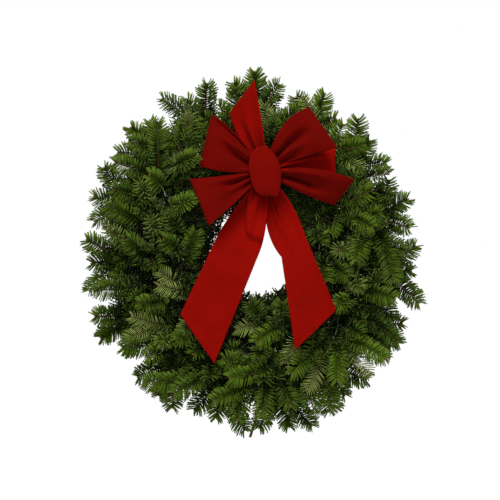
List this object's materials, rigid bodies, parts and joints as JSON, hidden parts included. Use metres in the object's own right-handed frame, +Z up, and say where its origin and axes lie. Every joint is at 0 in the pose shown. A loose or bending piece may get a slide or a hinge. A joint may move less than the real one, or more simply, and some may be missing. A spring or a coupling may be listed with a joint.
{
  "type": "evergreen wreath",
  "caption": "Round fresh fir wreath on a wire ring, with a red velvet ribbon bow, two long tails and a wire loop to hang it by.",
  "frame": {"origin": "inside the top of the hanging loop's eye, where the nail or hook bears", "axes": "+Z up, -Y out of the front, so the door or wall is towards +Y; +X to the viewer's right"},
  "size_m": [0.5317, 0.1442, 0.5619],
  "materials": {
    "frame_wire": "dull galvanised steel",
    "green_wire": "dark green enamelled wire",
    "fir": "fresh fir twigs and needles, satin green",
    "velvet": "deep red velvet ribbon with a soft sheen"
  },
  "bodies": {
    "root": {"ring_frame": "frame_wire", "binding_wire": "green_wire", "hanging_loop": "green_wire", "bow_tie_wire": "green_wire", "fir_outer_01": "fir", "fir_face_01": "fir", "fir_inner_01": "fir", "fir_outer_02": "fir", "fir_face_02": "fir", "fir_inner_02": "fir", "fir_outer_03": "fir", "fir_face_03": "fir", "fir_inner_03": "fir", "fir_outer_04": "fir", "fir_face_04": "fir", "fir_inner_04": "fir", "fir_outer_05": "fir", "fir_face_05": "fir", "fir_inner_05": "fir", "fir_outer_06": "fir", "fir_face_06": "fir", "fir_inner_06": "fir", "fir_outer_07": "fir", "fir_face_07": "fir", "fir_inner_07": "fir", "fir_outer_08": "fir", "fir_face_08": "fir", "fir_inner_08": "fir", "fir_outer_09": "fir", "fir_face_09": "fir", "fir_inner_09": "fir", "fir_outer_10": "fir", "fir_face_10": "fir", "fir_inner_10": "fir", "fir_outer_11": "fir", "fir_face_11": "fir", "fir_inner_11": "fir", "fir_outer_12": "fir", "fir_face_12": "fir", "fir_inner_12": "fir", "fir_outer_13": "fir", "fir_face_13": "fir", "fir_inner_13": "fir", "fir_outer_14": "fir", "fir_face_14": "fir", "fir_inner_14": "fir", "fir_outer_15": "fir", "fir_face_15": "fir", "fir_inner_15": "fir", "bow_loop_top": "velvet", "bow_loop_upper_left": "velvet", "bow_loop_lower_left": "velvet", "bow_loop_upper_right": "velvet", "bow_loop_middle_right": "velvet", "bow_loop_lower_right": "velvet", "bow_knot": "velvet", "bow_tail_left": "velvet", "bow_tail_right": "velvet"}
  },
  "joints": []
}
